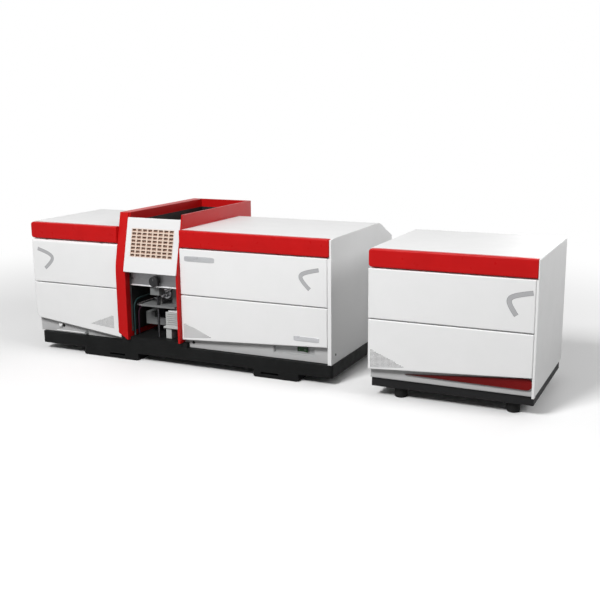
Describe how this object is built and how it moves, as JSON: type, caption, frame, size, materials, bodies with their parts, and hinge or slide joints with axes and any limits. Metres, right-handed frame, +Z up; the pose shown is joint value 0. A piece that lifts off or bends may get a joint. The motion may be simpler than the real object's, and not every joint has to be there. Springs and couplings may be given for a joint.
{
  "type": "atomic absorption spectrometer",
  "caption": "Benchtop atomic absorption spectrometer: white cabinets on a black base round a red flame tower with a vented shield, and a matching furnace power cabinet beside it.",
  "frame": {"origin": "on the table, under the middle of the whole set's outer box", "axes": "+X to the right along the front, +Y from front to back, +Z up"},
  "size_m": [1.5874, 0.555, 0.4515],
  "materials": {
    "white_enamel": "satin white enamel on folded sheet",
    "white_moulding": "smooth satin white moulding",
    "red_moulding": "smooth red moulding",
    "red_enamel": "satin red enamel on sheet",
    "black_moulding": "fine-grained black moulding",
    "grey_enamel": "grey enamel",
    "grey_moulding": "matt grey moulding",
    "black_enamel": "matt black enamel",
    "green_rocker": "glossy dark green moulding",
    "rubber": "black rubber",
    "steel": "brushed",
    "dark_liner": "darkened, heat-stained sheet",
    "chrome": "bright",
    "titanium": "satin titanium grey",
    "aluminium": "machined",
    "brass": "turned",
    "glass": "clear glass",
    "mirror": "ruled mirror",
    "iron_core": "varnished laminations"
  },
  "bodies": {
    "chassis": {"base_plinth": "black_moulding", "foot_front_left": "black_moulding", "foot_front_right": "black_moulding", "foot_rear_left": "black_moulding", "foot_rear_right": "black_moulding", "left_housing": "white_enamel", "right_housing": "white_enamel", "left_red_band": "red_moulding", "right_red_band": "red_moulding", "left_lower_panel": "white_moulding", "right_upper_panel": "white_moulding", "right_lower_panel": "white_moulding", "control_tray": "grey_moulding", "tower_left_wall": "red_enamel", "tower_right_wall": "red_enamel", "tower_back_wall": "red_enamel", "burner_bay_liner": "dark_liner", "left_window": "glass", "right_window": "glass", "burner_crossbar": "steel", "lift_gearbox": "grey_enamel", "carriage_rail": "steel", "drain_trap": "grey_moulding", "gas_valve_block": "grey_enamel", "gas_valve_cap": "white_moulding", "turret_bracket": "aluminium", "monochromator_case": "aluminium", "detector_housing": "black_enamel", "mains_transformer": "iron_core", "fan_frame": "black_moulding", "mains_inlet": "black_moulding", "gas_manifold": "brass", "supply_housing": "white_enamel", "supply_base": "black_enamel", "supply_foot_front_left": "rubber", "supply_foot_front_right": "rubber", "supply_foot_rear_left": "rubber", "supply_foot_rear_right": "rubber", "supply_red_band": "red_moulding", "supply_upper_panel": "white_moulding", "supply_lower_panel": "white_moulding", "supply_red_accent": "red_moulding", "supply_transformer": "iron_core", "supply_inlet": "black_moulding", "supply_terminals": "brass"},
    "vent_door": {"vent_door": "white_enamel"},
    "lamp_door": {"lamp_door": "white_moulding"},
    "power_switch": {"power_switch": "green_rocker"},
    "burner_lift": {"burner_carriage": "grey_enamel", "spray_chamber": "black_moulding", "nebulizer": "chrome"},
    "burner_head": {"burner_head": "titanium"},
    "height_knob": {"burner_height_knob": "black_moulding"},
    "lift_screw": {"lift_screw": "steel"},
    "lamp_turret": {"lamp_turret": "aluminium", "lamp_1": "glass", "lamp_2": "glass", "lamp_3": "glass"},
    "grating": {"grating": "mirror"},
    "fan_rotor": {"fan_rotor": "black_moulding"}
  },
  "joints": [
    {"name": "vent_door_hinge", "type": "hinge", "parent": "chassis", "child": "vent_door", "pos_m": [-0.43345, -0.2027, 0.435], "axis": [-1, 0, 0], "range_deg": [0, 100]},
    {"name": "lamp_door_hinge", "type": "hinge", "parent": "chassis", "child": "lamp_door", "pos_m": [-0.74375, -0.2185, 0.349], "axis": [-1, 0, 0], "range_deg": [0, 80]},
    {"name": "power_switch_rock", "type": "hinge", "parent": "chassis", "child": "power_switch", "pos_m": [0.13755, -0.2016, 0.0908], "axis": [0, 0, 1], "range_deg": [0, 18]},
    {"name": "burner_lift_slide", "type": "slide", "parent": "chassis", "child": "burner_lift", "axis": [0, 0, 1], "range_m": [0, 0.015]},
    {"name": "burner_head_turn", "type": "hinge", "parent": "burner_lift", "child": "burner_head", "pos_m": [-0.34395, -0.0265, 0.2473], "axis": [0, 0, 1], "range_deg": [0, 90]},
    {"name": "height_knob_turn", "type": "hinge", "parent": "chassis", "child": "height_knob", "pos_m": [-0.33795, -0.216, 0.2525], "axis": [0, 1, 0], "range_deg": [-541, 541]},
    {"name": "lift_screw_turn", "type": "hinge", "parent": "chassis", "child": "lift_screw", "pos_m": [-0.34845, -0.1965, 0.0741], "axis": [0, 0, 1], "range_deg": [-541, 541]},
    {"name": "lamp_turret_turn", "type": "hinge", "parent": "chassis", "child": "lamp_turret", "pos_m": [-0.66375, -0.0265, 0.248], "axis": [1, 0, 0], "continuous": true},
    {"name": "grating_turn", "type": "hinge", "parent": "chassis", "child": "grating", "pos_m": [0.00838, 0.0135, 0.2443], "axis": [0, 0, 1], "range_deg": [-25, 25]},
    {"name": "fan_spin", "type": "hinge", "parent": "chassis", "child": "fan_rotor", "pos_m": [0.14725, 0.2391, 0.2533], "axis": [0, 1, 0], "continuous": true}
  ],
  "couplings": [
    {"joint": "height_knob_turn", "follows": "burner_lift_slide", "rad_per_m": -628.32},
    {"joint": "lift_screw_turn", "follows": "burner_lift_slide", "rad_per_m": 628.32}
  ]
}
